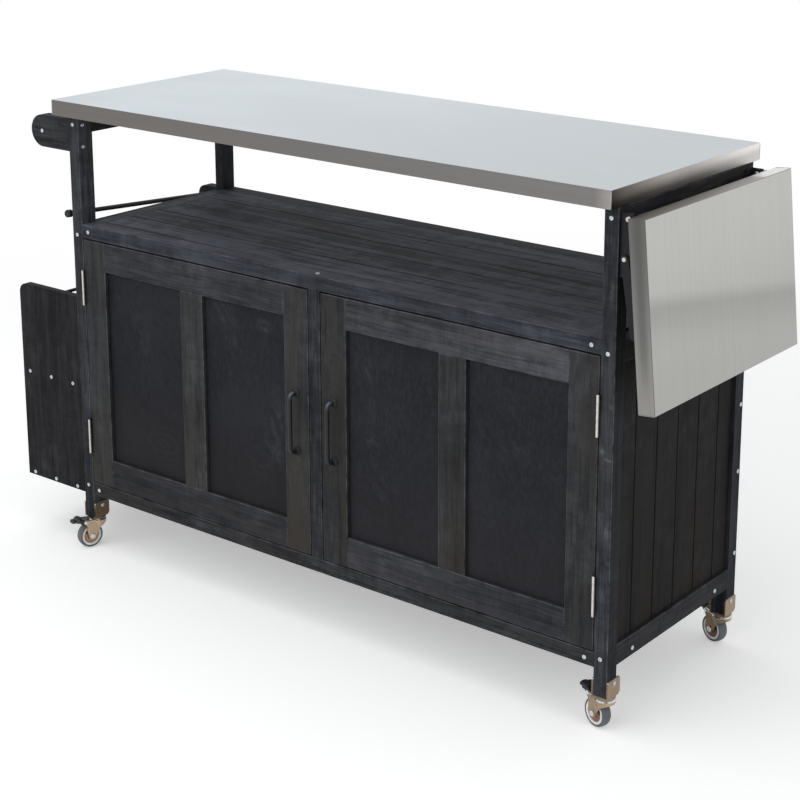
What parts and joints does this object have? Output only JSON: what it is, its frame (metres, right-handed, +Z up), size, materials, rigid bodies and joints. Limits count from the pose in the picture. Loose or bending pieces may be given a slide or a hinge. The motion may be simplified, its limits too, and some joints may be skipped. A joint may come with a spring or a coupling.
{
  "type": "grill cart with storage",
  "caption": "Wheeled outdoor grill cart: steel worktop, open bay, two-door cabinet, folding side leaf, end rack and towel bar.",
  "frame": {"origin": "on the floor below the middle of the whole cart's footprint, rack and hanging leaf included", "axes": "+X along the worktop from the rack end to the leaf end, -Y towards the doors, +Z up"},
  "size_m": [1.4728, 0.4934, 0.9],
  "materials": {
    "black_timber": "satin black stained softwood, fine grain",
    "deck_timber": "satin black stained softwood, worn a little lighter",
    "stainless": "fine brushed stainless sheet",
    "core_board": "raw board core",
    "zinc": "bright zinc plated steel",
    "black_steel": "satin black powder coat",
    "dark_rod": "satin black rod",
    "tyre": "dull dark grey rubber",
    "wheel_centre": "pale grey nylon",
    "black_plastic": "moulded black nylon"
  },
  "bodies": {
    "cart_frame": {"front_posts": "black_timber", "rear_posts": "black_timber", "top_side_rails": "black_timber", "deck_side_rails": "black_timber", "bottom_side_rails": "black_timber", "deck_long_rails": "deck_timber", "bottom_long_rails": "black_timber", "end_strips": "black_timber", "centre_post": "black_timber", "side_boards": "black_timber", "deck_planks": "deck_timber", "floor_planks": "black_timber", "back_planks": "black_timber", "inner_battens": "black_timber", "inner_shelf": "black_timber", "worktop_skin": "stainless", "worktop_core": "core_board", "bracket_plates": "black_steel", "bracket_pins": "zinc", "rod_brackets": "black_timber", "towel_bar": "dark_rod", "roll_rod": "dark_rod", "rod_eye": "zinc", "rack_end_boards": "black_timber", "rack_shelves": "black_timber", "rack_guard_rod": "dark_rod", "post_hinge_leaves": "zinc", "hinge_pins": "zinc", "door_catches": "black_plastic", "caster_clamps": "zinc", "screws": "zinc"},
    "left_door": {"left_door_frame": "black_timber", "left_door_panels": "black_timber", "left_door_handle": "black_steel", "left_door_plates": "zinc"},
    "right_door": {"right_door_frame": "black_timber", "right_door_panels": "black_timber", "right_door_handle": "black_steel", "right_door_plates": "zinc"},
    "drop_leaf": {"leaf_skin": "stainless", "leaf_core": "core_board", "leaf_arms": "black_steel"},
    "stays": {"leaf_stays": "black_steel"},
    "front_left_swivel": {"front_left_fork": "zinc"},
    "front_left_wheel": {"front_left_tyre": "tyre", "front_left_hub": "wheel_centre"},
    "front_left_brake": {"front_left_pedal": "black_plastic"},
    "front_right_swivel": {"front_right_fork": "zinc"},
    "front_right_wheel": {"front_right_tyre": "tyre", "front_right_hub": "wheel_centre"},
    "front_right_brake": {"front_right_pedal": "black_plastic"},
    "rear_left_swivel": {"rear_left_fork": "zinc"},
    "rear_left_wheel": {"rear_left_tyre": "tyre", "rear_left_hub": "wheel_centre"},
    "rear_left_brake": {"rear_left_pedal": "black_plastic"},
    "rear_right_swivel": {"rear_right_fork": "zinc"},
    "rear_right_wheel": {"rear_right_tyre": "tyre", "rear_right_hub": "wheel_centre"},
    "rear_right_brake": {"rear_right_pedal": "black_plastic"}
  },
  "joints": [
    {"name": "left_door_hinge", "type": "hinge", "parent": "cart_frame", "child": "left_door", "pos_m": [-0.54337, -0.20945, 0.3865], "axis": [0, 0, -1], "range_deg": [0, 105]},
    {"name": "right_door_hinge", "type": "hinge", "parent": "cart_frame", "child": "right_door", "pos_m": [0.62263, -0.20945, 0.3865], "axis": [0, 0, 1], "range_deg": [0, 105]},
    {"name": "leaf_hinge", "type": "hinge", "parent": "cart_frame", "child": "drop_leaf", "pos_m": [0.66263, 0.00175, 0.853], "axis": [0, -1, 0], "range_deg": [0, 84.7]},
    {"name": "stay_hinge", "type": "hinge", "parent": "cart_frame", "child": "stays", "pos_m": [0.65963, 0.00175, 0.791], "axis": [0, -1, 0], "range_deg": [0, 111.95]},
    {"name": "front_left_swivel", "type": "hinge", "parent": "cart_frame", "child": "front_left_swivel", "pos_m": [-0.55737, -0.18825, 0.055], "axis": [0, 0, 1], "continuous": true},
    {"name": "front_left_roll", "type": "hinge", "parent": "front_left_swivel", "child": "front_left_wheel", "pos_m": [-0.56202, -0.20564, 0.025], "axis": [-0.9659, 0.2588, 0], "continuous": true},
    {"name": "front_left_brake", "type": "hinge", "parent": "front_left_swivel", "child": "front_left_brake", "pos_m": [-0.56539, -0.21819, 0.056], "axis": [0.9659, -0.2588, 0], "range_deg": [0, 12]},
    {"name": "front_right_swivel", "type": "hinge", "parent": "cart_frame", "child": "front_right_swivel", "pos_m": [0.63663, -0.18825, 0.055], "axis": [0, 0, 1], "continuous": true},
    {"name": "front_right_roll", "type": "hinge", "parent": "front_right_swivel", "child": "front_right_wheel", "pos_m": [0.61952, -0.18269, 0.025], "axis": [0.309, 0.9511, 0], "continuous": true},
    {"name": "front_right_brake", "type": "hinge", "parent": "front_right_swivel", "child": "front_right_brake", "pos_m": [0.60715, -0.17867, 0.056], "axis": [-0.309, -0.9511, 0], "range_deg": [0, 12]},
    {"name": "rear_left_swivel", "type": "hinge", "parent": "cart_frame", "child": "rear_left_swivel", "pos_m": [-0.55737, 0.19175, 0.055], "axis": [0, 0, 1], "continuous": true},
    {"name": "rear_left_roll", "type": "hinge", "parent": "rear_left_swivel", "child": "rear_left_wheel", "pos_m": [-0.56637, 0.20734, 0.025], "axis": [0.866, 0.5, 0], "continuous": true},
    {"name": "rear_left_brake", "type": "hinge", "parent": "rear_left_swivel", "child": "rear_left_brake", "pos_m": [-0.57287, 0.2186, 0.056], "axis": [-0.866, -0.5, 0], "range_deg": [0, 12]},
    {"name": "rear_right_swivel", "type": "hinge", "parent": "cart_frame", "child": "rear_right_swivel", "pos_m": [0.63663, 0.19175, 0.055], "axis": [0, 0, 1], "continuous": true},
    {"name": "rear_right_roll", "type": "hinge", "parent": "rear_right_swivel", "child": "rear_right_wheel", "pos_m": [0.61962, 0.19761, 0.025], "axis": [0.3256, 0.9455, 0], "continuous": true},
    {"name": "rear_right_brake", "type": "hinge", "parent": "rear_right_swivel", "child": "rear_right_brake", "pos_m": [0.60732, 0.20184, 0.056], "axis": [-0.3256, -0.9455, 0], "range_deg": [0, 12]}
  ],
  "couplings": [
    {"joint": "stay_hinge", "follows": "leaf_hinge", "ratio": 1.3216}
  ]
}
